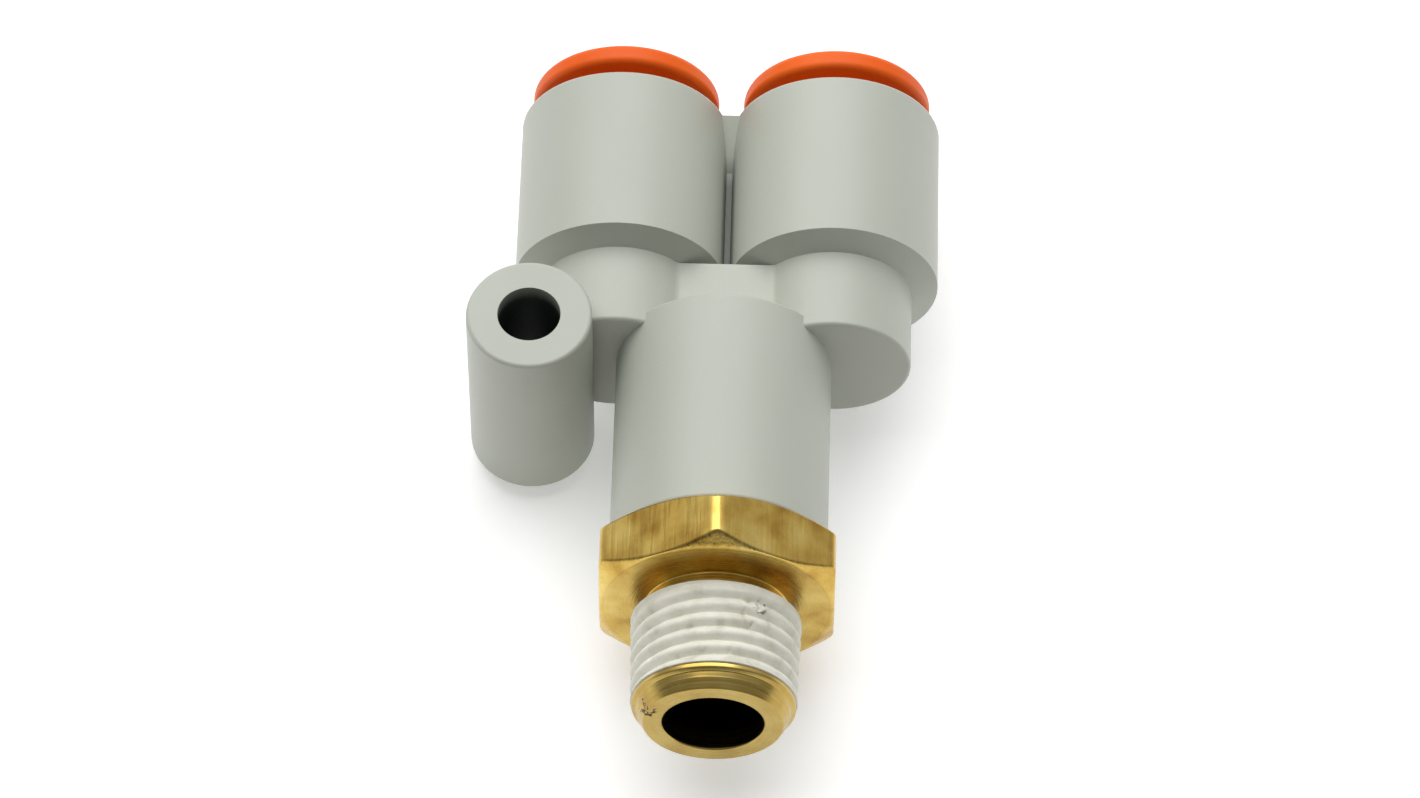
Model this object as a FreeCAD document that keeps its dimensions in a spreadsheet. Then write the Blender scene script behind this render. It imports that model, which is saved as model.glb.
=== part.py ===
"""Swivel branch Y tube fitting: a moulded body with two push-in tube ports on a brass taper thread stud.

The stud's axis is Y and the ports open towards +Y. The mounting hole's axis is Z. The origin is on the
stud's axis, in the plane of the hexagon's seat face. Sizes are in millimetres.
"""
import FreeCAD, Part
import os

import Sketcher
from FreeCAD import Rotation, Vector

# Driving dimensions: alias, value, meaning. Radial sizes add up outwards from the tube and from the spigot.
DIMENSIONS = [
    # tube and release button
    ("TubeRadius", 3.175, "outside radius of the tube that the ports take"),
    ("TubeGap", 0.125, "radial gap round the tube in the button and in its seat"),
    ("ShankWall", 1.0, "wall of the button's shank"),
    ("FlangeOverhang", 1.485, "flange radius beyond the shank"),
    ("FlangeThickness", 1.35, "button flange, along the port"),
    ("ButtonTravel", 1.1, "stroke of the button"),
    ("BeadHeight", 0.3, "retaining bead beyond the shank"),
    ("BeadLength", 0.5, "retaining bead along the port"),
    ("NoseLength", 0.5, "tapered nose past the bead"),
    ("NoseTaper", 0.55, "radius lost along the nose"),
    ("RunGap", 0.06, "radial running clearance of a sliding or turning fit"),
    ("EndGap", 0.1, "end clearance between pieces that move apart"),
    # guide ring, collet, chuck, spacer and seal
    ("GuideRecess", 0.15, "rim of the port to the guide ring"),
    ("LipLength", 1.35, "lip of the guide ring that holds the button's bead"),
    ("ReliefGap", 0.15, "radial gap round the bead below the lip"),
    ("GuideWall", 0.55, "guide ring outside its relief"),
    ("ConeLedge", 0.2, "step from the relief in to the cone"),
    ("ConeGap", 0.1, "radial gap between the guide's cone and the collet"),
    ("GuideLength", 4.8, "guide ring along the port"),
    ("SealStep", 0.25, "step that the guide ring stands on"),
    ("ChuckReach", 0.68, "chuck outside the tube's bore"),
    ("ChuckWall", 0.24, "sheet of the chuck"),
    ("ChuckLength", 1.35, "band of the chuck along the port"),
    ("ChuckStand", 0.25, "chuck standing proud of the collet"),
    ("ClawBite", 0.14, "claw tips inside the tube's outside radius"),
    ("ClawDepth", 1.1, "claw tips below the chuck's top"),
    ("ClawSlot", 0.55, "slot between two claws"),
    ("ColletLength", 4.65, "collet along the port"),
    ("ColletSlot", 0.6, "slot between two fingers of the collet"),
    ("SlotLength", 2.9, "slots of the collet along the port"),
    ("ColletTravel", 0.3, "axial float of the collet and chuck"),
    ("SpacerLength", 0.6, "seal spacer along the port"),
    ("SealLength", 1.2, "tube seal along the port"),
    ("LipBite", 0.1, "seal lip inside the tube's outside radius"),
    ("SeatLength", 3.85, "seat of the tube past the seal"),
    # moulded body
    ("PortWall", 1.1, "wall of a port outside the guide ring"),
    ("PortFloor", 0.7, "shoulder of a port below its seal"),
    ("PortSpacing", 0.3, "gap between the two port barrels"),
    ("ShoulderDrop", 0.7, "cone from the barrel in to the neck"),
    ("NeckWall", 1.52, "wall of a neck outside the tube's seat"),
    ("NeckFloor", 1.5, "closed end of a neck"),
    ("FlowHeight", 1.3, "cross passage along Y"),
    ("FlowWidth", 2.6, "cross passage along Z"),
    ("PortFlowRadius", 2.4, "passage past the tube's seat"),
    ("CentreWall", 1.4, "wall of the centre barrel"),
    ("ThroatRadius", 3.4, "passage past the spigot"),
    ("ThroatLength", 3.5, "passage past the spigot, along Y"),
    ("CentreCap", 1.5, "closed end of the centre barrel"),
    ("CentreOverlap", 0.95, "centre barrel past the ends of the necks"),
    ("WebThickness", 6.4, "web between the necks, along Z"),
    ("RibThickness", 1.2, "rib between the barrels, along Z"),
    ("RibTopThickness", 4.6, "rib at its top end, along Z"),
    ("RibTaper", 3.2, "length over which the rib thickens to its top"),
    ("RibDrop", 0.3, "rim of the ports to the top of the rib"),
    ("BossReach", 0.33, "axis of the mounting hole past the side of the left neck"),
    ("BossDrop", 1.1, "mounting hole below the ends of the necks"),
    ("BossWall", 1.9, "wall round the mounting hole"),
    ("BossHoleRadius", 1.9, "mounting hole"),
    ("BossLength", 13.6, "mounting boss along Z"),
    # stud
    ("FlowRadius", 3.0, "bore of the stud"),
    ("SpigotWall", 2.08, "spigot outside its bore"),
    ("SpigotLength", 9.3, "spigot past the hexagon"),
    ("SpigotChamfer", 0.5, "lead-in of the spigot"),
    ("SpigotEndGap", 0.3, "end of the spigot to the floor of its bore"),
    ("SnapStart", 1.8, "hexagon to the snap groove"),
    ("SnapWidth", 1.2, "snap groove along Y"),
    ("SnapDepth", 0.43, "snap groove below the spigot"),
    ("SnapSide", 0.2, "snap rib to each side of its groove"),
    ("SnapTip", 0.12, "snap rib to the floor of its groove"),
    ("RingStart", 5.0, "hexagon to the O-ring groove"),
    ("RingWidth", 1.6, "O-ring groove along Y"),
    ("RingDepth", 1.03, "O-ring groove below the spigot"),
    ("RingGap", 0.06, "O-ring to the bore that it seals"),
    ("HexFlats", 14.0, "hexagon across flats"),
    ("HexHeight", 3.6, "hexagon along Y"),
    ("HexRim", 0.06, "flats to the circle where the chamfer starts"),
    ("ChamferSlope", 0.577, "rise of the hexagon's chamfer over its run"),
    ("SwivelGap", 0.2, "hexagon to the body"),
    ("UndercutLength", 1.1, "plain neck between seat face and thread"),
    ("UndercutWall", 1.25, "plain neck outside the bore"),
    ("ThreadRadius", 5.05, "thread crest at its large end"),
    ("ThreadLength", 5.4, "threaded length"),
    ("ThreadPitch", 0.941, "pitch, 27 threads per inch"),
    ("ThreadDepth", 0.5, "crest to root"),
    ("ThreadTaper", 0.03125, "radius lost for each unit along the thread"),
    ("NosePlain", 0.35, "plain end of the stud before its chamfer"),
    ("EndChamfer", 1.1, "chamfer of the stud's end along Y"),
    ("EndChamferDrop", 0.72, "radius lost along that chamfer"),
    ("SealantFilm", 0.08, "sealant over the crests"),
    ("SealantDepth", 0.34, "crest to root of the sealant"),
]
CLAWS = 8
FINGERS = 6
SIDES = (("left", "-"), ("right", ""))
WEB_FILLET = 0.7
EDGE_FILLET = 0.25
NEAR = 0.001

doc = FreeCAD.newDocument("branch_y_fitting")
dims = doc.addObject("Spreadsheet::Sheet", "dims")
for row, (alias, value, meaning) in enumerate(DIMENSIONS, start=1):
    dims.set(f"A{row}", alias)
    dims.set(f"B{row}", str(value))
    dims.set(f"C{row}", meaning)
    dims.setAlias(f"B{row}", alias)
doc.recompute()

# Radii of a port, outwards from the tube.
TUBE_BORE = "(dims.TubeRadius + dims.TubeGap)"
SHANK = f"({TUBE_BORE} + dims.ShankWall)"
FLANGE = f"({SHANK} + dims.FlangeOverhang)"
BEAD = f"({SHANK} + dims.BeadHeight)"
RELIEF = f"({BEAD} + dims.ReliefGap)"
GUIDE = f"({RELIEF} + dims.GuideWall)"
PORT = f"({GUIDE} + dims.PortWall)"
NECK = f"({TUBE_BORE} + dims.NeckWall)"
SEAL = f"({GUIDE} - dims.SealStep)"
CHUCK = f"({TUBE_BORE} + dims.ChuckReach)"
CONE_TOP = f"({RELIEF} - dims.ConeLedge)"
CONE_BASE = f"({SEAL} - dims.ConeGap)"

# The button's flange stands this far above the rim; the depths that follow run down from the rim.
BUTTON_GAP = "(dims.ButtonTravel + dims.EndGap)"
GUIDE_END = "(dims.GuideRecess + dims.GuideLength)"
LIP_END = "(dims.GuideRecess + dims.LipLength)"
BEAD_TOP = f"({LIP_END} + dims.EndGap)"
BEAD_END = f"({BEAD_TOP} + dims.BeadLength)"
NOSE_END = f"({BEAD_END} + dims.NoseLength)"
RELIEF_END = f"({BEAD_END} + dims.ButtonTravel + dims.EndGap)"
CHUCK_TOP = f"({NOSE_END} + dims.ButtonTravel - dims.ColletTravel + dims.EndGap)"
COLLET_TOP = f"({CHUCK_TOP} + dims.ChuckStand)"
CHUCK_END = f"({CHUCK_TOP} + dims.ChuckLength)"
COLLET_END = f"({COLLET_TOP} + dims.ColletLength)"
SPACER_TOP = f"({COLLET_END} + dims.ColletTravel + dims.EndGap)"
SPACER_END = f"({SPACER_TOP} + dims.SpacerLength)"
SEAL_END = f"({SPACER_END} + dims.SealLength)"
TUBE_STOP = f"({SEAL_END} + dims.SeatLength)"
FLOW_END = f"({TUBE_STOP} + dims.FlowHeight)"
PORT_DEPTH = f"({FLOW_END} + dims.NeckFloor)"

# Radii and heights of the stud and of the bore that it turns in.
SPIGOT = "(dims.FlowRadius + dims.SpigotWall)"
SPIGOT_BORE = f"({SPIGOT} + dims.RunGap)"
CENTRE = f"({SPIGOT_BORE} + dims.CentreWall)"
SNAP_FLOOR = f"({SPIGOT} - dims.SnapDepth)"
RING_FLOOR = f"({SPIGOT} - dims.RingDepth)"
HEX_BACK = "dims.HexHeight"
HEX_CORNER = "(dims.HexFlats / sqrt(3))"
SNAP_START = f"({HEX_BACK} + dims.SnapStart)"
SNAP_END = f"({SNAP_START} + dims.SnapWidth)"
RING_START = f"({HEX_BACK} + dims.RingStart)"
RING_END = f"({RING_START} + dims.RingWidth)"
SPIGOT_END = f"({HEX_BACK} + dims.SpigotLength)"
BODY_START = f"({HEX_BACK} + dims.SwivelGap)"
BORE_END = f"({SPIGOT_END} + dims.SpigotEndGap)"
THROAT_END = f"({BORE_END} + dims.ThroatLength)"
CENTRE_TOP = f"({THROAT_END} + dims.CentreCap)"
NECK_END = f"({CENTRE_TOP} - dims.CentreOverlap)"
RIM = f"({NECK_END} + {PORT_DEPTH})"
SHOULDER = f"({RIM} - {SEAL_END} - dims.PortFloor)"
NECK_TOP = f"({SHOULDER} - dims.ShoulderDrop)"
PORT_OFFSET = f"({PORT} + dims.PortSpacing / 2)"


def plane_of(body, role):
    """The body's own origin plane with this role."""
    return next(feature for feature in body.Origin.OriginFeatures if feature.Role == role)


def bind_place(thing, path, place):
    """Bind the coordinates of a placement to expressions; None leaves a coordinate at zero."""
    for axis, expression in zip("xyz", place):
        if expression is not None:
            thing.setExpression(f"{path}.{axis}", expression)


def new_body(name, place=(None, None, None)):
    """An empty body, whose name is also its label and its file's name."""
    body = doc.addObject("PartDesign::Body", name)
    body.Label = name
    bind_place(body, ".Placement.Base", place)
    return body


def new_sketch(body, name, role="XY_Plane", offset=(None, None, None)):
    """An empty sketch on one of the body's origin planes, moved by an offset in the plane's own axes."""
    sketch = body.newObject("Sketcher::SketchObject", name)
    sketch.AttachmentSupport = [(plane_of(body, role), "")]
    sketch.MapMode = "FlatFace"
    bind_place(sketch, ".AttachmentOffset.Base", offset)
    return sketch


def number(expression):
    """The present value of an expression."""
    value = dims.evalExpression(expression)
    return float(getattr(value, "Value", value))


def bind_point(sketch, geometry, point, corner):
    """Bind one point of a sketch's geometry to a pair of expressions."""
    for kind, expression in zip(("DistanceX", "DistanceY"), corner):
        index = sketch.addConstraint(
            Sketcher.Constraint(kind, -1, 1, geometry, point, number(expression)))
        sketch.setExpression(f"Constraints[{index}]", expression)


def add_outline(sketch, corners):
    """A closed outline of straight lines through corners, which are pairs of expressions."""
    points = [Vector(number(across), number(along), 0) for across, along in corners]
    first = sketch.GeometryCount
    count = len(points)
    for index, point in enumerate(points):
        sketch.addGeometry(Part.LineSegment(point, points[(index + 1) % count]), False)
    for index in range(count):
        following = first + (index + 1) % count
        sketch.addConstraint(Sketcher.Constraint("Coincident", first + index, 2, following, 1))
    for index, corner in enumerate(corners):
        bind_point(sketch, first + index, 1, corner)


def add_rectangle(sketch, low, high):
    """A rectangle between two corners, which are pairs of expressions."""
    add_outline(sketch, [low, (high[0], low[1]), high, (low[0], high[1])])


def add_circle(sketch, centre, radius):
    """A circle with its centre and radius bound to expressions."""
    place = Vector(number(centre[0]), number(centre[1]), 0)
    index = sketch.addGeometry(Part.Circle(place, Vector(0, 0, 1), number(radius)), False)
    bind_point(sketch, index, 3, centre)
    constraint = sketch.addConstraint(Sketcher.Constraint("Radius", index, number(radius)))
    sketch.setExpression(f"Constraints[{constraint}]", radius)


def turned(body, kind, name, corners, offset=(None, None, None)):
    """A full Revolution or Groove of an outline (radius, height) about the sketch's vertical axis."""
    sketch = new_sketch(body, f"{name}_outline", offset=offset)
    add_outline(sketch, corners)
    feature = body.newObject(f"PartDesign::{kind}", name)
    feature.Profile = sketch
    feature.ReferenceAxis = (sketch, ["V_Axis"])
    feature.Angle = 360
    return feature


def extruded(body, kind, name, sketch, length):
    """A Pad or Pocket of a sketch, half of its length to each side of the sketch's plane."""
    feature = body.newObject(f"PartDesign::{kind}", name)
    feature.Profile = sketch
    feature.Midplane = True
    feature.setExpression("Length", length)
    return feature


def polar(body, feature, count):
    """Repeat a feature round the body's Y axis."""
    axis = next(item for item in body.Origin.OriginFeatures if item.Role == "Y_Axis")
    pattern = body.newObject("PartDesign::PolarPattern", f"{feature.Name}_pattern")
    pattern.Originals = [feature]
    pattern.Axis = (axis, [""])
    pattern.Angle = 360
    pattern.Occurrences = count
    body.Tip = pattern
    return pattern


def round_edges(body, name, radius, wanted):
    """Fillet the edges of the body's tip that the test picks."""
    doc.recompute()
    base = body.Tip
    names = [f"Edge{index}" for index, edge in enumerate(base.Shape.Edges, start=1) if wanted(edge)]
    fillet = body.newObject("PartDesign::Fillet", name)
    fillet.Base = (base, names)
    fillet.Radius = radius
    doc.recompute()
    return fillet


def on_circle(edge, radius, height):
    """True for an arc about an axis along Y, with this radius and at this height."""
    if not isinstance(edge.Curve, Part.Circle):
        return False
    near_height = abs(edge.Curve.Center.y - number(height)) < NEAR and edge.BoundBox.YLength < NEAR
    return near_height and abs(edge.Curve.Radius - number(radius)) < NEAR


def is_boss_end(edge):
    """True for the outer circle of either end of the mounting boss."""
    box = edge.BoundBox
    at_end = box.ZLength < NEAR and abs(abs(box.Center.z) - number("dims.BossLength / 2")) < NEAR
    return at_end and isinstance(edge.Curve, Part.Circle)


def down(depth):
    """A depth below the rim as a height."""
    return f"-{depth}"


def make_button(name, place):
    """Release button: a flange outside the port, and a shank whose bead stays under the guide's lip."""
    body = new_body(name, place)
    top = f"({BUTTON_GAP} + dims.FlangeThickness)"
    turned(body, "Revolution", f"{name}_turned", [
        (TUBE_BORE, top),
        (FLANGE, top),
        (FLANGE, BUTTON_GAP),
        (SHANK, BUTTON_GAP),
        (SHANK, down(BEAD_TOP)),
        (BEAD, down(BEAD_TOP)),
        (BEAD, down(BEAD_END)),
        (f"{BEAD} - dims.NoseTaper", down(NOSE_END)),
        (TUBE_BORE, down(NOSE_END)),
    ])
    return body


def make_guide(name, place):
    """Guide ring: its lip guides the button, and its cone closes the collet on the tube."""
    body = new_body(name, place)
    turned(body, "Revolution", f"{name}_turned", [
        (f"{SHANK} + dims.RunGap", down("dims.GuideRecess")),
        (GUIDE, down("dims.GuideRecess")),
        (GUIDE, down(GUIDE_END)),
        (CONE_BASE, down(GUIDE_END)),
        (CONE_TOP, down(RELIEF_END)),
        (RELIEF, down(RELIEF_END)),
        (RELIEF, down(LIP_END)),
        (f"{SHANK} + dims.RunGap", down(LIP_END)),
    ])
    return body


def make_collet(name, place):
    """Collet: a split sleeve that holds the chuck and closes in the guide's cone."""
    body = new_body(name, place)
    slope = f"({CONE_BASE} - {CONE_TOP}) / ({GUIDE_END} - {RELIEF_END})"
    top_radius = f"({CONE_TOP} - dims.ConeGap + ({COLLET_TOP} - {RELIEF_END}) * {slope})"
    outside = f"({CONE_BASE} - dims.ConeGap)"
    turned(body, "Revolution", f"{name}_turned", [
        (CHUCK, down(COLLET_TOP)),
        (top_radius, down(COLLET_TOP)),
        (outside, down(GUIDE_END)),
        (outside, down(COLLET_END)),
        (TUBE_BORE, down(COLLET_END)),
        (TUBE_BORE, down(CHUCK_END)),
        (CHUCK, down(CHUCK_END)),
    ])
    slot = new_sketch(body, f"{name}_slot_outline", role="YZ_Plane", offset=(None, None, f"{SEAL} / 2"))
    add_rectangle(
        slot,
        (f"-({COLLET_TOP} + dims.SlotLength)", "-dims.ColletSlot / 2"),
        (f"-({COLLET_TOP} - dims.EndGap)", "dims.ColletSlot / 2"))
    cut = extruded(body, "Pocket", f"{name}_slot", slot, SEAL)
    polar(body, cut, FINGERS)
    return body


def make_chuck(name, place):
    """Chuck: a sheet ring in the collet, with claws that slope in towards the tube."""
    body = new_body(name, place)
    inside = f"({CHUCK} - dims.ChuckWall)"
    tip = "(dims.TubeRadius - dims.ClawBite)"
    turned(body, "Revolution", f"{name}_turned", [
        (CHUCK, down(CHUCK_TOP)),
        (CHUCK, down(CHUCK_END)),
        (inside, down(CHUCK_END)),
        (inside, f"-{CHUCK_TOP} - dims.ChuckWall * 2"),
        (f"{tip} + dims.ChuckWall / 2", f"-{CHUCK_TOP} - dims.ClawDepth"),
        (tip, f"-{CHUCK_TOP} - dims.ClawDepth + dims.ChuckWall / 2"),
        (inside, down(CHUCK_TOP)),
    ])
    slot = new_sketch(body, f"{name}_slot_outline", role="YZ_Plane", offset=(None, None, f"{inside} / 2"))
    add_rectangle(
        slot,
        (f"-({CHUCK_TOP} + dims.ClawDepth + dims.EndGap)", "-dims.ClawSlot / 2"),
        (f"-({CHUCK_TOP} - dims.EndGap)", "dims.ClawSlot / 2"))
    cut = extruded(body, "Pocket", f"{name}_slot", slot, inside)
    polar(body, cut, CLAWS)
    return body


def make_spacer(name, place):
    """Spacer: a flat ring that keeps the collet off the seal."""
    body = new_body(name, place)
    sketch = new_sketch(
        body, f"{name}_outline", role="XZ_Plane", offset=(None, None, f"({SPACER_TOP} + {SPACER_END}) / 2"))
    add_circle(sketch, ("0", "0"), SEAL)
    add_circle(sketch, ("0", "0"), TUBE_BORE)
    extruded(body, "Pad", f"{name}_ring", sketch, "dims.SpacerLength")
    return body


def make_seal(name, place):
    """Tube seal: a cup whose thin lip faces the pressure and bears on the tube."""
    body = new_body(name, place)
    lip = "(dims.TubeRadius - dims.LipBite)"
    notch = f"(({SEAL} + {lip}) / 2)"
    turned(body, "Revolution", f"{name}_turned", [
        (f"{TUBE_BORE} + dims.TubeGap", down(SPACER_END)),
        (SEAL, down(SPACER_END)),
        (SEAL, down(SEAL_END)),
        (f"{notch} + dims.LipBite * 3", down(SEAL_END)),
        (notch, f"-{SPACER_END} - dims.SealLength / 2"),
        (f"{lip} + dims.LipBite * 2", f"-{SEAL_END} + dims.EndGap"),
        (lip, f"-{SEAL_END} + dims.EndGap * 3"),
    ])
    return body


def make_stud():
    """Stud: taper pipe thread, hexagon, and a spigot that turns in the moulded body."""
    body = new_body("threaded_stud")
    thread_start = "-dims.UndercutLength"
    thread_end = f"({thread_start} - dims.ThreadLength)"
    core = "(dims.ThreadRadius - dims.ThreadDepth)"
    taper = "dims.ThreadLength * dims.ThreadTaper"
    small_radius = f"(dims.ThreadRadius - {taper})"
    plain_end = f"({thread_end} - dims.NosePlain)"
    stud_end = f"({plain_end} - dims.EndChamfer)"
    neck = "(dims.FlowRadius + dims.UndercutWall)"
    turned(body, "Revolution", "stud_turned", [
        ("dims.FlowRadius", stud_end),
        (f"{small_radius} - dims.EndChamferDrop", stud_end),
        (small_radius, plain_end),
        (small_radius, thread_end),
        (f"{core} - {taper}", thread_end),
        (core, thread_start),
        (neck, thread_start),
        (neck, "0"),
        (neck, HEX_BACK),
        (SPIGOT, HEX_BACK),
        (SPIGOT, SNAP_START),
        (SNAP_FLOOR, SNAP_START),
        (SNAP_FLOOR, SNAP_END),
        (SPIGOT, SNAP_END),
        (SPIGOT, RING_START),
        (RING_FLOOR, RING_START),
        (RING_FLOOR, RING_END),
        (SPIGOT, RING_END),
        (SPIGOT, f"{SPIGOT_END} - dims.SpigotChamfer"),
        (f"{SPIGOT} - dims.SpigotChamfer", SPIGOT_END),
        ("dims.FlowRadius", SPIGOT_END),
    ])
    hexagon = new_sketch(body, "hexagon_outline", role="XZ_Plane", offset=(None, None, f"-{HEX_BACK} / 2"))
    add_outline(hexagon, [
        ("0", HEX_CORNER),
        ("-dims.HexFlats / 2", f"{HEX_CORNER} / 2"),
        ("-dims.HexFlats / 2", f"-{HEX_CORNER} / 2"),
        ("0", f"-{HEX_CORNER}"),
        ("dims.HexFlats / 2", f"-{HEX_CORNER} / 2"),
        ("dims.HexFlats / 2", f"{HEX_CORNER} / 2"),
    ])
    add_circle(hexagon, ("0", "0"), "dims.FlowRadius + dims.UndercutWall / 2")
    extruded(body, "Pad", "hexagon", hexagon, HEX_BACK)
    rim = "(dims.HexFlats / 2 - dims.HexRim)"
    beyond = f"({HEX_CORNER} + dims.HexRim)"
    rise = f"({beyond} - {rim}) * dims.ChamferSlope"
    turned(body, "Groove", "seat_chamfer", [(rim, "0"), (beyond, rise), (beyond, "0")])
    turned(body, "Groove", "back_chamfer", [
        (rim, HEX_BACK),
        (beyond, HEX_BACK),
        (beyond, f"{HEX_BACK} - {rise}"),
    ])
    return body


def cut_thread(body, name, crest):
    """Cut the tapered helical groove, a V of 60 degrees, along the threaded length and past both its ends."""
    lead_in = "dims.ThreadPitch / 2"
    middle = f"({lead_in} - dims.UndercutLength)"
    start_crest = f"({crest} + {lead_in} * dims.ThreadTaper)"
    half_width = "((dims.SealantDepth + dims.EndGap) * dims.ChamferSlope)"
    sketch = new_sketch(body, f"{name}_outline")
    add_outline(sketch, [
        (f"{start_crest} - dims.SealantDepth", middle),
        (f"{start_crest} + dims.EndGap", f"{middle} - {half_width}"),
        (f"{start_crest} + dims.EndGap", f"{middle} + {half_width}"),
    ])
    groove = body.newObject("PartDesign::SubtractiveHelix", name)
    groove.Profile = sketch
    groove.ReferenceAxis = (sketch, ["V_Axis"])
    groove.Mode = "pitch-height-angle"
    groove.Reversed = True
    groove.setExpression("Pitch", "dims.ThreadPitch")
    groove.setExpression("Height", "dims.ThreadLength + dims.ThreadPitch * 2")
    groove.setExpression("Angle", "-atan(dims.ThreadTaper)")
    return groove


def make_sealant():
    """Thread with its sealant: a film over the crests that half fills the grooves of the thread."""
    body = new_body("thread_sealant")
    thread_start = "-dims.UndercutLength"
    thread_end = f"({thread_start} - dims.ThreadLength)"
    drop = "(dims.ThreadLength * dims.ThreadTaper)"
    outside = "(dims.ThreadRadius + dims.SealantFilm)"
    core = "(dims.ThreadRadius - dims.ThreadDepth)"
    turned(body, "Revolution", "sealant_turned", [
        (core, thread_start),
        (outside, thread_start),
        (f"{outside} - {drop}", thread_end),
        (f"{core} - {drop}", thread_end),
    ])
    cut_thread(body, "sealant_thread", outside)
    return body


def make_ring():
    """O-ring of the spigot, drawn squeezed to its height in the bore."""
    ring = doc.addObject("Part::Torus", "stud_o_ring")
    ring.Label = "stud_o_ring"
    section = f"(({SPIGOT_BORE} - dims.RingGap - {RING_FLOOR}) / 2)"
    ring.setExpression("Radius1", f"{RING_FLOOR} + {section}")
    ring.setExpression("Radius2", section)
    ring.Placement.Rotation = Rotation(Vector(1, 0, 0), 90)
    ring.setExpression(".Placement.Base.y", f"({RING_START} + {RING_END}) / 2")
    return ring


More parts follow.
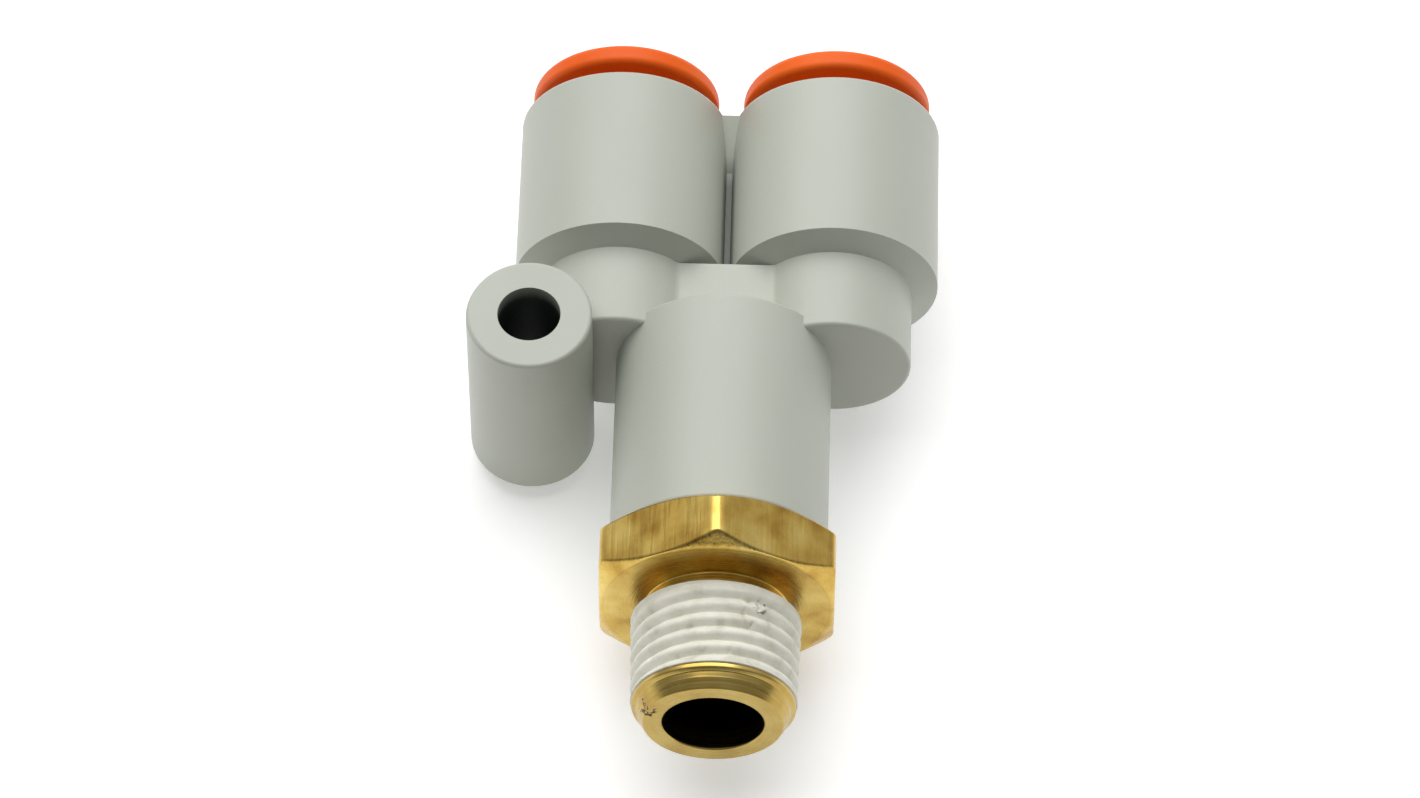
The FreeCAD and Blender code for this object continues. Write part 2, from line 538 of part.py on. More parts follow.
def make_body():
    """Moulded body: two port barrels on closed necks, a web, the centre barrel and the mounting boss."""
    body = new_body("branch_body")
    web_face = number("dims.WebThickness / 2")
    for side, sign in SIDES:
        turned(body, "Revolution", f"{side}_neck", [
            ("0", NECK_END),
            (NECK, NECK_END),
            (NECK, NECK_TOP),
            ("0", NECK_TOP),
        ], offset=(f"{sign}{PORT_OFFSET}", None, None))
    web = new_sketch(body, "web_outline")
    add_rectangle(web, (f"-{PORT_OFFSET}", NECK_END), (PORT_OFFSET, NECK_TOP))
    extruded(body, "Pad", "web", web, "dims.WebThickness")

    def beside_web(edge):
        """Edges along Y where the web's faces meet the necks."""
        box = edge.BoundBox
        along_y = box.XLength < NEAR and box.ZLength < NEAR
        return along_y and abs(abs(box.Center.z) - web_face) < NEAR

    round_edges(body, "web_fillet", WEB_FILLET, beside_web)
    for side, sign in SIDES:
        turned(body, "Revolution", f"{side}_barrel", [
            ("0", NECK_TOP),
            (NECK, NECK_TOP),
            (PORT, SHOULDER),
            (PORT, RIM),
            ("0", RIM),
        ], offset=(f"{sign}{PORT_OFFSET}", None, None))
    turned(body, "Revolution", "centre_barrel", [
        ("0", BODY_START),
        (CENTRE, BODY_START),
        (CENTRE, CENTRE_TOP),
        ("0", CENTRE_TOP),
    ])
    rib_top = f"({RIM} - dims.RibDrop)"
    rib_thin = f"({rib_top} - dims.RibTaper)"
    rib = new_sketch(body, "rib_outline", role="YZ_Plane")
    add_outline(rib, [
        (f"{NECK_TOP} - dims.EndGap", "-dims.RibThickness / 2"),
        (rib_thin, "-dims.RibThickness / 2"),
        (rib_top, "-dims.RibTopThickness / 2"),
        (rib_top, "dims.RibTopThickness / 2"),
        (rib_thin, "dims.RibThickness / 2"),
        (f"{NECK_TOP} - dims.EndGap", "dims.RibThickness / 2"),
    ])
    extruded(body, "Pad", "rib", rib, f"{PORT_OFFSET} * 2")
    boss_place = (f"-{PORT_OFFSET} - {NECK} - dims.BossReach", f"{NECK_END} - dims.BossDrop")
    boss = new_sketch(body, "boss_outline")
    add_circle(boss, boss_place, "dims.BossHoleRadius + dims.BossWall")
    extruded(body, "Pad", "boss", boss, "dims.BossLength")
    round_edges(body, "rim_fillet", EDGE_FILLET, lambda edge: on_circle(edge, PORT, RIM))
    round_edges(body, "skirt_fillet", EDGE_FILLET, lambda edge: on_circle(edge, CENTRE, BODY_START))
    round_edges(body, "boss_fillet", EDGE_FILLET, is_boss_end)
    round_edges(body, "top_fillet", EDGE_FILLET, lambda edge: on_circle(edge, CENTRE, CENTRE_TOP))
    round_edges(body, "neck_fillet", EDGE_FILLET, lambda edge: on_circle(edge, NECK, NECK_END))

    for side, sign in SIDES:
        turned(body, "Groove", f"{side}_port_bore", [
            ("0", RIM),
            (GUIDE, RIM),
            (GUIDE, f"{RIM} - {GUIDE_END}"),
            (SEAL, f"{RIM} - {GUIDE_END}"),
            (SEAL, f"{RIM} - {SEAL_END}"),
            (TUBE_BORE, f"{RIM} - {SEAL_END}"),
            (TUBE_BORE, f"{RIM} - {TUBE_STOP}"),
            ("dims.PortFlowRadius", f"{RIM} - {TUBE_STOP}"),
            ("dims.PortFlowRadius", f"{RIM} - {FLOW_END}"),
            ("0", f"{RIM} - {FLOW_END}"),
        ], offset=(f"{sign}{PORT_OFFSET}", None, None))
    snap_rib = f"({SNAP_FLOOR} + dims.SnapTip)"
    turned(body, "Groove", "spigot_bore", [
        ("0", BODY_START),
        (SPIGOT_BORE, BODY_START),
        (SPIGOT_BORE, f"{SNAP_START} + dims.SnapSide"),
        (snap_rib, f"{SNAP_START} + dims.SnapSide"),
        (snap_rib, f"{SNAP_END} - dims.SnapSide"),
        (SPIGOT_BORE, f"{SNAP_END} - dims.SnapSide"),
        (SPIGOT_BORE, BORE_END),
        ("dims.ThroatRadius", BORE_END),
        ("dims.ThroatRadius", THROAT_END),
        ("0", THROAT_END),
    ])
    passage = new_sketch(body, "passage_outline")
    add_outline(passage, [
        ("-dims.PortFlowRadius", f"{THROAT_END} - dims.NeckFloor"),
        ("dims.PortFlowRadius", f"{THROAT_END} - dims.NeckFloor"),
        ("dims.PortFlowRadius", f"{RIM} - {FLOW_END}"),
        (PORT_OFFSET, f"{RIM} - {FLOW_END}"),
        (PORT_OFFSET, f"{RIM} - {TUBE_STOP}"),
        (f"-{PORT_OFFSET}", f"{RIM} - {TUBE_STOP}"),
        (f"-{PORT_OFFSET}", f"{RIM} - {FLOW_END}"),
        ("-dims.PortFlowRadius", f"{RIM} - {FLOW_END}"),
    ])
    extruded(body, "Pocket", "passage", passage, "dims.FlowWidth")
    hole = new_sketch(body, "hole_outline")
    add_circle(hole, boss_place, "dims.BossHoleRadius")
    extruded(body, "Pocket", "mounting_hole", hole, "dims.BossLength + dims.EndGap")
    return body


PORT_PIECES = (
    (make_button, "release_button"),
    (make_guide, "guide_ring"),
    (make_collet, "collet"),
    (make_chuck, "chuck"),
    (make_spacer, "seal_spacer"),
    (make_seal, "tube_seal"),
)


def check_document():
    """Stop if any object failed, or if a feature that should cut took nothing away."""
    cuts = ("Pocket", "Groove", "SubtractiveHelix", "PolarPattern")
    for item in doc.Objects:
        if "Invalid" in item.State or "Error" in item.State:
            raise RuntimeError(f"{item.Name} failed: {item.State}")
        if item.TypeId.split("::")[-1] in cuts and item.Shape.Volume >= item.BaseFeature.Shape.Volume:
            raise RuntimeError(f"{item.Name} cut nothing")


def write_pieces(pieces):
    """Write each piece to parts/, after checking its solid."""
    os.makedirs("parts", exist_ok=True)
    for piece in pieces:
        shape = piece.Shape
        if shape.isNull() or not shape.isValid() or len(shape.Solids) != 1:
            raise RuntimeError(f"{piece.Label} has no valid single solid")
        shape.exportStep(f"parts/{piece.Label}.step")


def main():
    """Build every piece, check the document and write the pieces."""
    pieces = [make_body(), make_stud(), make_sealant(), make_ring()]
    for side, sign in SIDES:
        place = (f"{sign}{PORT_OFFSET}", RIM, None)
        for make, name in PORT_PIECES:
            pieces.append(make(f"{side}_{name}", place))
    doc.recompute()
    check_document()
    write_pieces(pieces)


main()
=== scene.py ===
"""Looks of the swivel branch Y tube fitting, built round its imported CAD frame. Lengths are in metres."""
import math

import bmesh
import bpy
from mathutils import Matrix, Vector, noise


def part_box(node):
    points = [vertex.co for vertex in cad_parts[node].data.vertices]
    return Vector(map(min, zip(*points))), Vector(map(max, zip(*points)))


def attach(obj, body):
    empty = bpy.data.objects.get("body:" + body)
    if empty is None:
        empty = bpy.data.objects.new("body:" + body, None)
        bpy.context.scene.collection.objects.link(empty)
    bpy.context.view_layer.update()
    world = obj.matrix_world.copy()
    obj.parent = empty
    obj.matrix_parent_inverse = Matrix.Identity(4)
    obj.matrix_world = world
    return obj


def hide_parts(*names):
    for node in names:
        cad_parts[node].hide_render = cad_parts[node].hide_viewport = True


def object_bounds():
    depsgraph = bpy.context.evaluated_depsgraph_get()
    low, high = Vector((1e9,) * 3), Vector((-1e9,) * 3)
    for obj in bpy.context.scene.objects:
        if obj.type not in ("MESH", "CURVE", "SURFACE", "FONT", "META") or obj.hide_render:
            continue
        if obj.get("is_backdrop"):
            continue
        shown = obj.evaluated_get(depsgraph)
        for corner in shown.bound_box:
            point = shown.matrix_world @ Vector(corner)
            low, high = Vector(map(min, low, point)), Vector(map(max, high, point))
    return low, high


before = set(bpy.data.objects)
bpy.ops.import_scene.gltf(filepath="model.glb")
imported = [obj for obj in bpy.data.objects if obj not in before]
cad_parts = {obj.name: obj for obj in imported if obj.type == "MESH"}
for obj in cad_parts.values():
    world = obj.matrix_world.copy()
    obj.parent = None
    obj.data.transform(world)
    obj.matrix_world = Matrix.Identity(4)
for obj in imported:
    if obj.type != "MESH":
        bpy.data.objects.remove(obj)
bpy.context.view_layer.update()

MM = 0.001
SIDES = ("left", "right")

# Body
HOLE_CENTRE = (-11.7 * MM, 16.15 * MM, 0.0)
HOLE_RADIUS = 1.9 * MM
BOSS_HALF_LENGTH = 6.8 * MM

# Stud: its bore, and its hexagon, whose seat face is at height 0
STUD_BORE = 3.0 * MM
HEX_FLATS = 14.0 * MM
HEX_HEIGHT = 3.6 * MM
HEX_RIM = 6.94 * MM
HEX_CHAMFER = math.pi / 6
HEX_BLEND = 0.2 * MM
HEX_CORNER_CUT = 0.09 * MM
RIM_START = 6.59 * MM

# Thread, from its start below the neck down to the nose
THREAD_START = -1.1 * MM
THREAD_LENGTH = 5.4 * MM
THREAD_END = THREAD_START - THREAD_LENGTH
THREAD_PITCH = 0.941 * MM
THREAD_CREST = 5.13 * MM
THREAD_TAPER = 1 / 32

# Mesh fineness
TURN_STEPS = 160
HEX_STEPS = 720
HEX_ROWS = 60
HEX_EDGE_DEPTHS = (0.0, 0.002 * MM, 0.008 * MM, 0.018 * MM, 0.034 * MM)
FILM_STEPS = 480
FILM_ROWS = 130

# Chips in the sealant: angle in radians, then height, depth and size in millimetres
CHIPS = (
    (1.15, -2.2, 0.30, 0.17),
    (1.22, -2.95, 0.28, 0.15),
    (1.12, -3.7, 0.24, 0.16),
    (1.04, -2.55, 0.22, 0.11),
    (2.45, -5.3, 0.28, 0.17),
    (1.4, -5.7, 0.18, 0.14),
    (4.4, -3.3, 0.26, 0.2),
    (5.6, -5.1, 0.24, 0.2),
)


# ---------------------------------------------------------------- material nodes
# An owner is the material or the world whose node tree a helper adds to.

def new_material(name, color, roughness, metallic=0.0):
    """A Principled material, with its uniform values set on the shader itself."""
    material = bpy.data.materials.new(name)
    material.use_nodes = True
    shader = material.node_tree.nodes["Principled BSDF"]
    shader.inputs["Base Color"].default_value = (*color, 1.0)
    shader.inputs["Roughness"].default_value = roughness
    shader.inputs["Metallic"].default_value = metallic
    return material, shader


def add_subsurface(shader, weight, radius, scale):
    """Light scattered under the surface, as in plastic and dried film."""
    shader.inputs["Subsurface Weight"].default_value = weight
    shader.inputs["Subsurface Radius"].default_value = radius
    shader.inputs["Subsurface Scale"].default_value = scale


def add_noise(owner, scale, detail, stretch=(1.0, 1.0, 1.0)):
    """Noise in object coordinates: scale is in features per metre, stretched along each axis."""
    nodes = owner.node_tree.nodes
    links = owner.node_tree.links
    place = nodes.new("ShaderNodeTexCoord")
    mapping = nodes.new("ShaderNodeMapping")
    mapping.inputs["Scale"].default_value = stretch
    texture = nodes.new("ShaderNodeTexNoise")
    texture.inputs["Scale"].default_value = scale
    texture.inputs["Detail"].default_value = detail
    links.new(place.outputs["Object"], mapping.inputs["Vector"])
    links.new(mapping.outputs["Vector"], texture.inputs["Vector"])
    return texture.outputs["Fac"]


def coordinate(owner, axis, space="Object"):
    """One coordinate of the surface, or of the direction looked in where a world uses Generated."""
    nodes = owner.node_tree.nodes
    place = nodes.new("ShaderNodeTexCoord")
    split = nodes.new("ShaderNodeSeparateXYZ")
    owner.node_tree.links.new(place.outputs[space], split.inputs["Vector"])
    return split.outputs[axis]


def distance_from(owner, centre, keep=(1.0, 1.0, 1.0)):
    """Distance from a point, or from a line through it along the axis that keep has as 0."""
    nodes = owner.node_tree.nodes
    links = owner.node_tree.links
    place = nodes.new("ShaderNodeTexCoord")
    mapping = nodes.new("ShaderNodeMapping")
    mapping.inputs["Location"].default_value = tuple(-part for part in centre)
    mapping.inputs["Scale"].default_value = keep
    length = nodes.new("ShaderNodeVectorMath")
    length.operation = "LENGTH"
    links.new(place.outputs["Object"], mapping.inputs["Vector"])
    links.new(mapping.outputs["Vector"], length.inputs[0])
    return length.outputs["Value"]


def spread(owner, value, start, end, low=0.0, high=1.0):
    """Map a value from start..end to low..high, clamped."""
    node = owner.node_tree.nodes.new("ShaderNodeMapRange")
    node.inputs["From Min"].default_value = start
    node.inputs["From Max"].default_value = end
    node.inputs["To Min"].default_value = low
    node.inputs["To Max"].default_value = high
    owner.node_tree.links.new(value, node.inputs["Value"])
    return node.outputs["Result"]


def combine(owner, operation, first, second=0.0):
    """A Math node, whose second input may be a plain number."""
    node = owner.node_tree.nodes.new("ShaderNodeMath")
    node.operation = operation
    links = owner.node_tree.links
    links.new(first, node.inputs[0])
    if isinstance(second, float):
        node.inputs[1].default_value = second
    else:
        links.new(second, node.inputs[1])
    return node.outputs["Value"]


def flecks(owner, centre, fineness, level):
    """Mask of ragged flecks that gather about a point: a higher level gives more of them."""
    fall_off = 250.0
    softness = 0.04
    fading = combine(owner, "MULTIPLY", distance_from(owner, centre), fall_off)
    value = combine(owner, "ADD", add_noise(owner, fineness, detail=4.0), fading)
    return spread(owner, value, start=level, end=level - softness)


def vary_color(material, shader, factor, stops):
    """Drive the base colour from a factor, through a ramp of (position, colour) stops."""
    ramp = material.node_tree.nodes.new("ShaderNodeValToRGB")
    elements = ramp.color_ramp.elements
    while len(elements) < len(stops):
        elements.new(0.5)
    for element, (position, color) in zip(elements, stops):
        element.position = position
        element.color = (*color, 1.0)
    links = material.node_tree.links
    links.new(factor, ramp.inputs["Fac"])
    links.new(ramp.outputs["Color"], shader.inputs["Base Color"])


def darken_for_shade_or_marks(material, shader, mask, color):
    """Mix the base colour towards a darker one where a mask is 1: painted shade in some places, real marks in
    others.
    """
    links = material.node_tree.links
    present = shader.inputs["Base Color"].links[0].from_socket
    mix = material.node_tree.nodes.new("ShaderNodeMix")
    mix.data_type = "RGBA"
    links.new(mask, mix.inputs["Factor"])
    links.new(present, mix.inputs["A"])
    mix.inputs["B"].default_value = (*color, 1.0)
    links.new(mix.outputs["Result"], shader.inputs["Base Color"])


def vary_roughness(material, shader, factor, low, high):
    """Drive the roughness from a noise factor, which mostly lies between 0.3 and 0.7."""
    roughness = spread(material, factor, 0.3, 0.7, low, high)
    material.node_tree.links.new(roughness, shader.inputs["Roughness"])


def add_bump(material, shader, factor, distance):
    """Bump from a factor."""
    links = material.node_tree.links
    bump = material.node_tree.nodes.new("ShaderNodeBump")
    bump.inputs["Distance"].default_value = distance
    bump.inputs["Strength"].default_value = 1.0
    links.new(factor, bump.inputs["Height"])
    links.new(bump.outputs["Normal"], shader.inputs["Normal"])


# ---------------------------------------------------------------- materials

def body_plastic():
    """Light warm grey moulded plastic: fine eroded texture, faint flow marks, painted shade in the hole and
    the groove.
    """
    material, shader = new_material("body_plastic", (0.43, 0.445, 0.39), 0.42)
    flow = add_noise(material, scale=90.0, detail=3.0, stretch=(1.0, 0.35, 1.0))
    vary_color(material, shader, flow, [(0.3, (0.418, 0.436, 0.378)), (0.7, (0.462, 0.482, 0.420))])

    # Painted shade inside the mounting hole, darker deeper in.
    from_hole = distance_from(material, HOLE_CENTRE, keep=(1.0, 1.0, 0.0))
    hole_shade = spread(material, from_hole, start=HOLE_RADIUS + 0.09 * MM, end=HOLE_RADIUS + 0.03 * MM)
    height = combine(material, "ABSOLUTE", coordinate(material, "Z"))
    shade_deeper_in = spread(material, height, start=BOSS_HALF_LENGTH - 0.05 * MM, end=BOSS_HALF_LENGTH - 1.2 * MM)
    darken_for_shade_or_marks(material, shader, combine(material, "MULTIPLY", hole_shade, shade_deeper_in), (0.02, 0.028, 0.024))

    # Painted shade along the groove between the barrels, above the web.
    across = combine(material, "ABSOLUTE", coordinate(material, "X"))
    along = coordinate(material, "Y")
    groove_shade_band = spread(material, across, start=0.42 * MM, end=0.2 * MM)
    below_top = spread(material, along, start=32.0 * MM, end=30.0 * MM)
    above_web = spread(material, along, start=22.9 * MM, end=23.2 * MM)
    groove = combine(material, "MULTIPLY", combine(material, "MULTIPLY", groove_shade_band, below_top), above_web)
    darken_for_shade_or_marks(material, shader, groove, (0.13, 0.14, 0.12))

    grain = add_noise(material, scale=9000.0, detail=4.0)
    vary_roughness(material, shader, grain, low=0.36, high=0.5)
    add_bump(material, shader, grain, distance=0.012 * MM)
    add_subsurface(shader, weight=0.1, radius=(0.6, 0.55, 0.45), scale=0.7 * MM)
    return material


def button_plastic():
    """Orange moulded plastic, slightly translucent."""
    material, shader = new_material("button_plastic", (0.80, 0.115, 0.004), 0.36)
    flow = add_noise(material, scale=140.0, detail=3.0)
    vary_color(material, shader, flow, [(0.3, (0.76, 0.10, 0.003)), (0.7, (0.84, 0.13, 0.005))])
    shader.inputs["Specular IOR Level"].default_value = 0.25
    grain = add_noise(material, scale=7000.0, detail=3.0)
    vary_roughness(material, shader, grain, low=0.4, high=0.55)
    add_bump(material, shader, grain, distance=0.008 * MM)
    add_subsurface(shader, weight=0.1, radius=(1.0, 0.2, 0.05), scale=0.8 * MM)
    return material


def brass():
    """Machined brass: milled lines on the hexagon, turned rings elsewhere, tarnish, nicks, painted shade on
    the nose and in the bore.
    """
    material, shader = new_material("brass", (0.6, 0.42, 0.13), 0.3, metallic=1.0)
    nodes = material.node_tree.nodes
    links = material.node_tree.links
    radius = distance_from(material, (0.0, 0.0, 0.0), keep=(1.0, 0.0, 1.0))
    along = coordinate(material, "Y")

    stain = add_noise(material, scale=380.0, detail=6.0)
    vary_color(material, shader, stain, [
        (0.3, (0.42, 0.24, 0.045)),
        (0.47, (0.62, 0.42, 0.10)),
        (0.68, (0.76, 0.57, 0.18)),
    ])
    # Painted shade inside the bore.
    bore_shade = spread(material, radius, start=STUD_BORE + 0.03 * MM, end=STUD_BORE + 0.005 * MM)
    darken_for_shade_or_marks(material, shader, bore_shade, (0.012, 0.010, 0.008))
    # Painted shade on the nose, the brass darkened towards its end.
    nose_shade = spread(material, along, start=THREAD_END, end=THREAD_END - 0.3 * MM, high=0.5)
    darken_for_shade_or_marks(material, shader, nose_shade, (0.34, 0.26, 0.085))
    nicks = flecks(material, (-3.85 * MM, -7.9 * MM, 1.2 * MM), fineness=2600.0, level=0.6)
    darken_for_shade_or_marks(material, shader, nicks, (0.06, 0.035, 0.012))

    milled = add_noise(material, scale=900.0, detail=4.0, stretch=(5.0, 0.25, 5.0))
    place = nodes.new("ShaderNodeCombineXYZ")
    links.new(radius, place.inputs["X"])
    links.new(along, place.inputs["Y"])
    turned = nodes.new("ShaderNodeTexNoise")
    turned.inputs["Scale"].default_value = 7000.0
    turned.inputs["Detail"].default_value = 3.0
    links.new(place.outputs["Vector"], turned.inputs["Vector"])
    on_flats = spread(material, radius, start=6.96 * MM, end=6.99 * MM)
    choose = nodes.new("ShaderNodeMix")
    links.new(on_flats, choose.inputs["Factor"])
    links.new(turned.outputs["Fac"], choose.inputs["A"])
    links.new(milled, choose.inputs["B"])
    lines = choose.outputs["Result"]
    vary_roughness(material, shader, lines, low=0.2, high=0.4)
    add_bump(material, shader, lines, distance=0.014 * MM)
    return material


def sealant_film():
    """Off-white dried sealant, mottled, slightly rubbed and worn in one place."""
    material, shader = new_material("sealant", (0.66, 0.65, 0.58), 0.55)
    mottle = add_noise(material, scale=900.0, detail=6.0)
    vary_color(material, shader, mottle, [
        (0.28, (0.56, 0.54, 0.44)),
        (0.42, (0.70, 0.69, 0.59)),
        (0.75, (0.80, 0.79, 0.70)),
    ])
    worn = flecks(material, (2.7 * MM, -2.4 * MM, 4.2 * MM), fineness=3200.0, level=0.52)
    darken_for_shade_or_marks(material, shader, worn, (0.24, 0.22, 0.17))
    grain = add_noise(material, scale=5000.0, detail=5.0)
    vary_roughness(material, shader, grain, low=0.4, high=0.7)
    add_bump(material, shader, grain, distance=0.03 * MM)
    add_subsurface(shader, weight=0.15, radius=(0.5, 0.45, 0.35), scale=0.5 * MM)
    return material


def bright_steel(name, color, roughness):
    """Turned or rolled bright metal with rings of fine tool lines."""
    material, shader = new_material(name, color, roughness, metallic=1.0)
    lines = add_noise(material, scale=1500.0, detail=3.0, stretch=(0.2, 6.0, 0.2))
    vary_roughness(material, shader, lines, low=roughness * 0.75, high=roughness * 1.35)
    add_bump(material, shader, lines, distance=0.008 * MM)
    shade = add_noise(material, scale=600.0, detail=3.0)
    vary_color(material, shader, shade, [(0.3, tuple(0.88 * part for part in color)), (0.7, color)])
    return material


def inner_plastic():
    """Natural white moulded plastic of the collets and spacers."""
    material, shader = new_material("collet_plastic", (0.72, 0.72, 0.68), 0.38)
    grain = add_noise(material, scale=4000.0, detail=3.0)
    vary_color(material, shader, grain, [(0.3, (0.68, 0.68, 0.64)), (0.7, (0.75, 0.75, 0.71))])
    vary_roughness(material, shader, grain, low=0.32, high=0.46)
    add_bump(material, shader, grain, distance=0.01 * MM)
    return material


def seal_rubber():
    """Black moulded rubber."""
    material, shader = new_material("seal_rubber", (0.018, 0.018, 0.019), 0.5)
    grain = add_noise(material, scale=6000.0, detail=4.0)
    vary_color(material, shader, grain, [(0.3, (0.012, 0.012, 0.013)), (0.7, (0.03, 0.03, 0.032))])
    vary_roughness(material, shader, grain, low=0.42, high=0.65)
    add_bump(material, shader, grain, distance=0.02 * MM)
    return material


# ---------------------------------------------------------------- mesh work

def rounded(profile, steps=6):
    """A closed outline from (radius, height, rounding) corners, each an arc; 0 keeps one sharp."""
    outline = []
    for index, (radius, height, rounding) in enumerate(profile):
        here = Vector((radius, height))
        if rounding <= 0:
            outline.append(here)
            continue
        before = Vector(profile[index - 1][:2]) - here
        after = Vector(profile[(index + 1) % len(profile)][:2]) - here
        half = before.angle(after) / 2
        reach = min(rounding / math.tan(half), before.length * 0.49, after.length * 0.49)
        start = here + before.normalized() * reach
        end = here + after.normalized() * reach
        inward = (before.normalized() + after.normalized()).normalized()
        centre = here + inward * (reach / math.cos(half))
        sweep = (start - centre).angle_signed(end - centre)
        for step in range(steps + 1):
            arm = (start - centre).copy()
            arm.rotate(Matrix.Rotation(-sweep * step / steps, 2))
            outline.append(centre + arm)
    return outline


def supported(outline, near=0.015 * MM):
    """The outline with a point close to each end of every long side, which keeps flat faces flat."""
    result = []
    for index, here in enumerate(outline):
        following = outline[(index + 1) % len(outline)]
        side = following - here
        result.append(here)
        if side.length > 6 * near:
            result.append(here + side.normalized() * near)
            result.append(following - side.normalized() * near)
    return result


def fixed(point):
    """A row of a turned solid that is the same at every angle."""
    return lambda angle: (point[0], point[1])


def turn_grid(name, rows, steps, centre_x=0.0):
    """A closed solid round an axis along Y: each row is a function from an angle to (radius, height)."""
    mesh = bpy.data.meshes.new(name)
    work = bmesh.new()
    rings = []
    for step in range(steps):
        angle = 2 * math.pi * step / steps
        ring = []
        for row in rows:
            radius, height = row(angle)
            x = centre_x + radius * math.cos(angle)
            ring.append(work.verts.new((x, height, radius * math.sin(angle))))
        rings.append(ring)
    for step in range(steps):
        ring, following = rings[step], rings[(step + 1) % steps]
        for index in range(len(rows)):
            other = (index + 1) % len(rows)
            work.faces.new((ring[index], ring[other], following[other], following[index]))
    bmesh.ops.recalc_face_normals(work, faces=work.faces)
    for face in work.faces:
        face.smooth = True
    work.to_mesh(mesh)
    work.free()
    piece = bpy.data.objects.new(name, mesh)
    bpy.context.scene.collection.objects.link(piece)
    return piece


def soft_min(first, second, blend):
    """The smaller of two lengths, with the crossing rounded over a blend length."""
    gap = max(blend - abs(first - second), 0.0) / blend
    return min(first, second) - gap * gap * blend / 4


def paint(data, material):
    """Make a material the only one of a mesh."""
    data.materials.clear()
    data.materials.append(material)


def finish_piece(piece, material, body, node):
    """Give a piece its material and its place in the frame, and let it stand for its CAD node."""
    paint(piece.data, material)
    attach(piece, body)
    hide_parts(node)


# ---------------------------------------------------------------- release buttons

def make_button(side, material):
    """Release button: a soft-edged flange, a shank, its bead and its nose."""
    node = f"{side}_release_button"
    low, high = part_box(node)
    centre_x = (low.x + high.x) / 2
    flange = (high.x - low.x) / 2
    bore = 3.3 * MM
    shank = 4.3 * MM
    bead = 4.6 * MM
    nose = bead - 0.55 * MM
    under = high.y - 1.35 * MM
    bead_top = low.y + 1.0 * MM
    bead_foot = low.y + 0.5 * MM
    profile = [
        (bore, high.y, 0.45 * MM),
        (flange, high.y, 0.5 * MM),
        (flange, under, 0.35 * MM),
        (shank, under, 0.15 * MM),
        (shank, bead_top, 0.05 * MM),
        (bead, bead_top, 0.08 * MM),
        (bead, bead_foot, 0.1 * MM),
        (nose, low.y, 0.1 * MM),
        (bore, low.y, 0.1 * MM),
    ]
    rows = [fixed(point) for point in supported(rounded(profile))]
    piece = turn_grid(f"{side}_button", rows, TURN_STEPS, centre_x)
    finish_piece(piece, material, f"{side}_button", node)


# ---------------------------------------------------------------- stud

def chamfer_radius(depth):
    """Radius of the chamfer's cone at a depth from the hexagon's end face, rounded at the face."""
    bend = 0.5 * MM
    start = HEX_RIM - bend * math.tan(HEX_CHAMFER / 2)
    if depth < bend * (1 - math.cos(HEX_CHAMFER)):
        return start + math.sqrt(bend ** 2 - (bend - depth) ** 2)
    return HEX_RIM + depth / math.tan(HEX_CHAMFER)


def hexagon_row(height):
    """A row of the hexagon: flats with softened corners, chamfered 30 degrees at both ends."""
    front = chamfer_radius(height)
    back = chamfer_radius(HEX_HEIGHT - height)
    corner = HEX_FLATS / math.sqrt(3) - HEX_CORNER_CUT

    def at(angle):
        turn = (angle + math.pi / 6) % (math.pi / 3) - math.pi / 6
        flat = HEX_FLATS / 2 / math.cos(turn)
        side = soft_min(flat, corner, HEX_BLEND)
        return soft_min(soft_min(side, front, HEX_BLEND), back, HEX_BLEND), height
    return at


def hexagon_rows():
    """Every row of the hexagon from its seat face up, closest together at the edges."""
    rows = [fixed((RIM_START, 0.0))]
    rows.extend(hexagon_row(depth) for depth in HEX_EDGE_DEPTHS)
    rows.extend(hexagon_row(HEX_HEIGHT * step / HEX_ROWS) for step in range(1, HEX_ROWS))
    rows.extend(hexagon_row(HEX_HEIGHT - depth) for depth in reversed(HEX_EDGE_DEPTHS))
    rows.append(fixed((RIM_START, HEX_HEIGHT)))
    return rows


def stud_profile():
    """Corners of the turned stud: nose, thread core, neck, the hexagon's place, and the grooved spigot."""
    end = -7.95 * MM
    collar = 4.87 * MM
    neck = 4.25 * MM
    nose = [
        (STUD_BORE, end, 0.14 * MM),
        (4.14 * MM, end, 0.14 * MM),
        (4.5 * MM, -7.34 * MM, 0.1 * MM),
        (4.62 * MM, -7.0 * MM, 0.1 * MM),
        (collar, -6.84 * MM, 0.14 * MM),
        (collar, THREAD_END, 0.12 * MM),
    ]
    core = [
        (4.38 * MM, THREAD_END, 0.0),
        (4.55 * MM, THREAD_START, 0.05 * MM),
        (neck, THREAD_START, 0.1 * MM),
        (neck, 0.0, 0.12 * MM),
    ]
    hexagon = [(HEX_RIM, 0.0, 0.0), (HEX_RIM, HEX_HEIGHT, 0.0)]
    side = 5.08 * MM
    snap_groove = 4.65 * MM
    ring_groove = 4.05 * MM
    tip = 12.9 * MM
    spigot = [
        (side, HEX_HEIGHT, 0.05 * MM),
        (side, 5.4 * MM, 0.05 * MM),
        (snap_groove, 5.4 * MM, 0.08 * MM),
        (snap_groove, 6.6 * MM, 0.08 * MM),
        (side, 6.6 * MM, 0.05 * MM),
        (side, 8.6 * MM, 0.05 * MM),
        (ring_groove, 8.6 * MM, 0.1 * MM),
        (ring_groove, 10.2 * MM, 0.1 * MM),
        (side, 10.2 * MM, 0.05 * MM),
        (side, 12.4 * MM, 0.1 * MM),
        (side - 0.5 * MM, tip, 0.1 * MM),
        (STUD_BORE, tip, 0.1 * MM),
    ]
    return nose + core + hexagon + spigot


def make_stud(material):
    """Stud: its turned outline, with the hexagon's rows in place of the points at the hexagon's rim."""
    hexagon = hexagon_rows()
    rows = []
    for point in supported(rounded(stud_profile(), steps=4)):
        if point[0] < RIM_START:
            rows.append(fixed(point))
        elif hexagon:
            rows.extend(hexagon)
            hexagon = []
    piece = turn_grid("stud", rows, HEX_STEPS)
    finish_piece(piece, material, "stud", "threaded_stud")


# ---------------------------------------------------------------- sealed thread

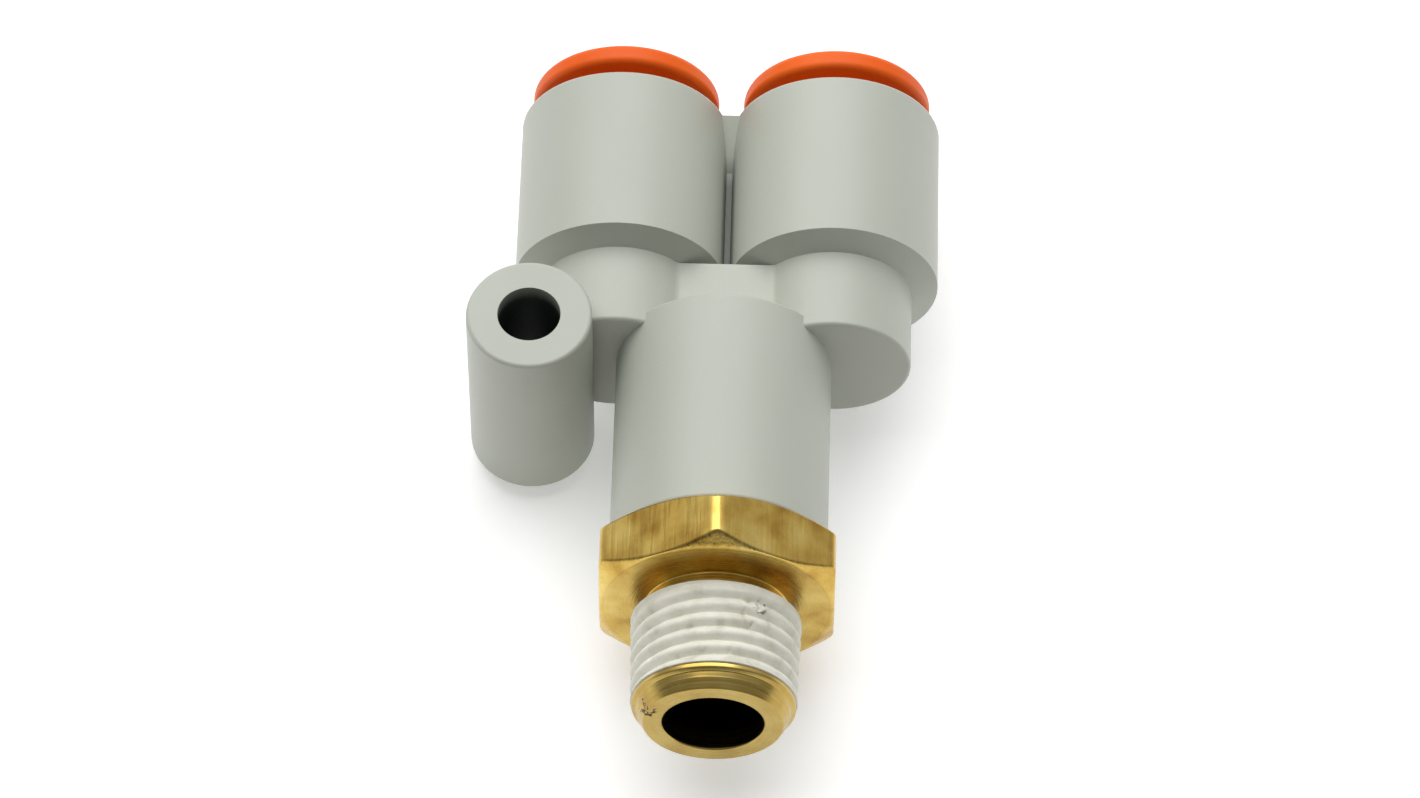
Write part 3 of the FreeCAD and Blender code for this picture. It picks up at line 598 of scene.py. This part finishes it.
def film_row(height):
    """A row of the sealed thread, with soft ridges, lumps, drips and chips."""
    ridge_depth = 0.36 * MM
    film_gap = 0.03 * MM
    flatness = 0.45
    middle = 5.0
    along = (THREAD_START - height) / THREAD_LENGTH
    run_out = max(min(1.0, along * 9.0, (1.0 - along) * 14.0), 0.0)
    crest = THREAD_CREST + (height - THREAD_START) * THREAD_TAPER

    def at(angle):
        phase = (height / THREAD_PITCH + angle / (2 * math.pi)) % 1.0
        ridge = (0.5 - 0.5 * math.cos(2 * math.pi * phase)) ** flatness
        place = Vector((math.cos(angle) * middle, height / MM, math.sin(angle) * middle))
        lumps = noise.noise(place * 1.1) * 0.022 + noise.noise(place * 3.3) * 0.012
        drips = noise.noise(Vector((angle * 4.0, height / MM * 0.35, 7.0))) * 0.02
        radius = crest - film_gap - ridge_depth * (1.0 - ridge) * run_out + (lumps + drips) * MM
        for chip_angle, chip_height, chip_depth, chip_size in CHIPS:
            across = ((angle - chip_angle + math.pi) % (2 * math.pi) - math.pi) * middle
            apart = math.hypot(across, (height / MM - chip_height)) / chip_size
            if apart < 2.5:
                rough = 0.7 + 0.6 * noise.noise(place * 9.0)
                radius -= chip_depth * rough * math.exp(-apart * apart) * MM
        return radius, height
    return at


def make_sealant(material):
    """Sealed thread, from its start down, closed on the inside by the stud's core."""
    inset = 0.01 * MM
    rows = [fixed((4.6 * MM, THREAD_START)), fixed((4.9 * MM, THREAD_START))]
    for step in range(FILM_ROWS + 1):
        rows.append(film_row(THREAD_START - inset - (THREAD_LENGTH - 2 * inset) * step / FILM_ROWS))
    rows.append(fixed((4.75 * MM, THREAD_END)))
    rows.append(fixed((4.42 * MM, THREAD_END)))
    piece = turn_grid("thread_film", rows, FILM_STEPS)
    finish_piece(piece, material, "stud", "thread_sealant")


# ---------------------------------------------------------------- stage, lights and camera

def make_floor():
    """A plain pale floor just under the lowest point of the part."""
    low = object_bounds()[0]
    bpy.ops.mesh.primitive_plane_add(size=3.0, location=(0, 0, low[2] - 0.02 * MM))
    floor = bpy.context.object
    floor.name = "floor"
    material, shader = new_material("floor", (0.9, 0.9, 0.9), 0.8)
    shader.inputs["Emission Color"].default_value = (1.0, 1.0, 1.0, 1.0)
    shader.inputs["Emission Strength"].default_value = 0.3
    floor.data.materials.append(material)
    floor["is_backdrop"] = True


def add_light(name, direction, distance, size, power):
    """A square area light that faces the middle of the part."""
    low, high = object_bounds()
    middle = (Vector(low) + Vector(high)) / 2
    data = bpy.data.lights.new(name, "AREA")
    data.shape = "SQUARE"
    data.size = size
    data.energy = power
    light = bpy.data.objects.new(name, data)
    bpy.context.scene.collection.objects.link(light)
    away = Vector(direction).normalized()
    light.location = middle + away * distance
    light.rotation_euler = away.to_track_quat("Z", "Y").to_euler()


def make_lights():
    """A large soft light above and behind, and a surround that is bright overhead and dim in front."""
    add_light("overhead", direction=(-0.12, 0.5, 1.0), distance=0.5, size=0.6, power=2.6)
    world = bpy.data.worlds.new("surround")
    bpy.context.scene.world = world
    world.use_nodes = True
    up = spread(world, coordinate(world, "Z", "Generated"), start=0.0, end=0.9, low=0.36, high=0.74)
    behind = spread(world, coordinate(world, "Y", "Generated"), start=-1.0, end=1.0, low=0.16, high=1.3)
    background = world.node_tree.nodes["Background"]
    background.inputs["Color"].default_value = (1.0, 1.0, 1.0, 1.0)
    strength = combine(world, "MULTIPLY", up, behind)
    world.node_tree.links.new(strength, background.inputs["Strength"])


def make_camera():
    """A long-lens camera that looks down on the part from the thread's end."""
    azimuth = math.radians(1.098)
    elevation = math.radians(57.28)
    roll = math.radians(0.494)
    distance = 402.8 * MM
    target = Vector((-0.78 * MM, 14.78 * MM, 0.0))
    back = Vector((
        math.sin(azimuth) * math.cos(elevation),
        -math.cos(azimuth) * math.cos(elevation),
        math.sin(elevation)))
    right = Vector((math.cos(azimuth), math.sin(azimuth), 0.0))
    up = back.cross(right)
    across = math.cos(roll) * right + math.sin(roll) * up
    upward = math.cos(roll) * up - math.sin(roll) * right
    data = bpy.data.cameras.new("camera")
    data.sensor_width = 36.0
    data.lens = 168.4
    data.clip_start = 0.01
    data.clip_end = 10.0
    camera = bpy.data.objects.new("camera", data)
    bpy.context.scene.collection.objects.link(camera)
    turn = Matrix((across, upward, back)).transposed()
    camera.matrix_world = Matrix.Translation(target + back * distance) @ turn.to_4x4()
    bpy.context.scene.camera = camera


def main():
    """Build the pieces, the stage, the lights and the camera."""
    plastic = body_plastic()
    orange = button_plastic()
    metal = brass()
    film = sealant_film()
    steel = bright_steel("chuck_steel", (0.66, 0.66, 0.66), 0.25)
    plated = bright_steel("guide_metal", (0.7, 0.69, 0.66), 0.28)
    white = inner_plastic()
    black = seal_rubber()
    kept_nodes = {"branch_body": plastic, "stud_o_ring": black}
    for side in SIDES:
        kept_nodes[f"{side}_guide_ring"] = plated
        kept_nodes[f"{side}_collet"] = white
        kept_nodes[f"{side}_chuck"] = steel
        kept_nodes[f"{side}_seal_spacer"] = white
        kept_nodes[f"{side}_tube_seal"] = black
    for name, material in kept_nodes.items():
        paint(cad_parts[name].data, material)
    make_stud(metal)
    make_sealant(film)
    for side in SIDES:
        make_button(side, orange)
    make_floor()
    make_lights()
    make_camera()
    bpy.context.scene.view_settings.view_transform = "Standard"


main()
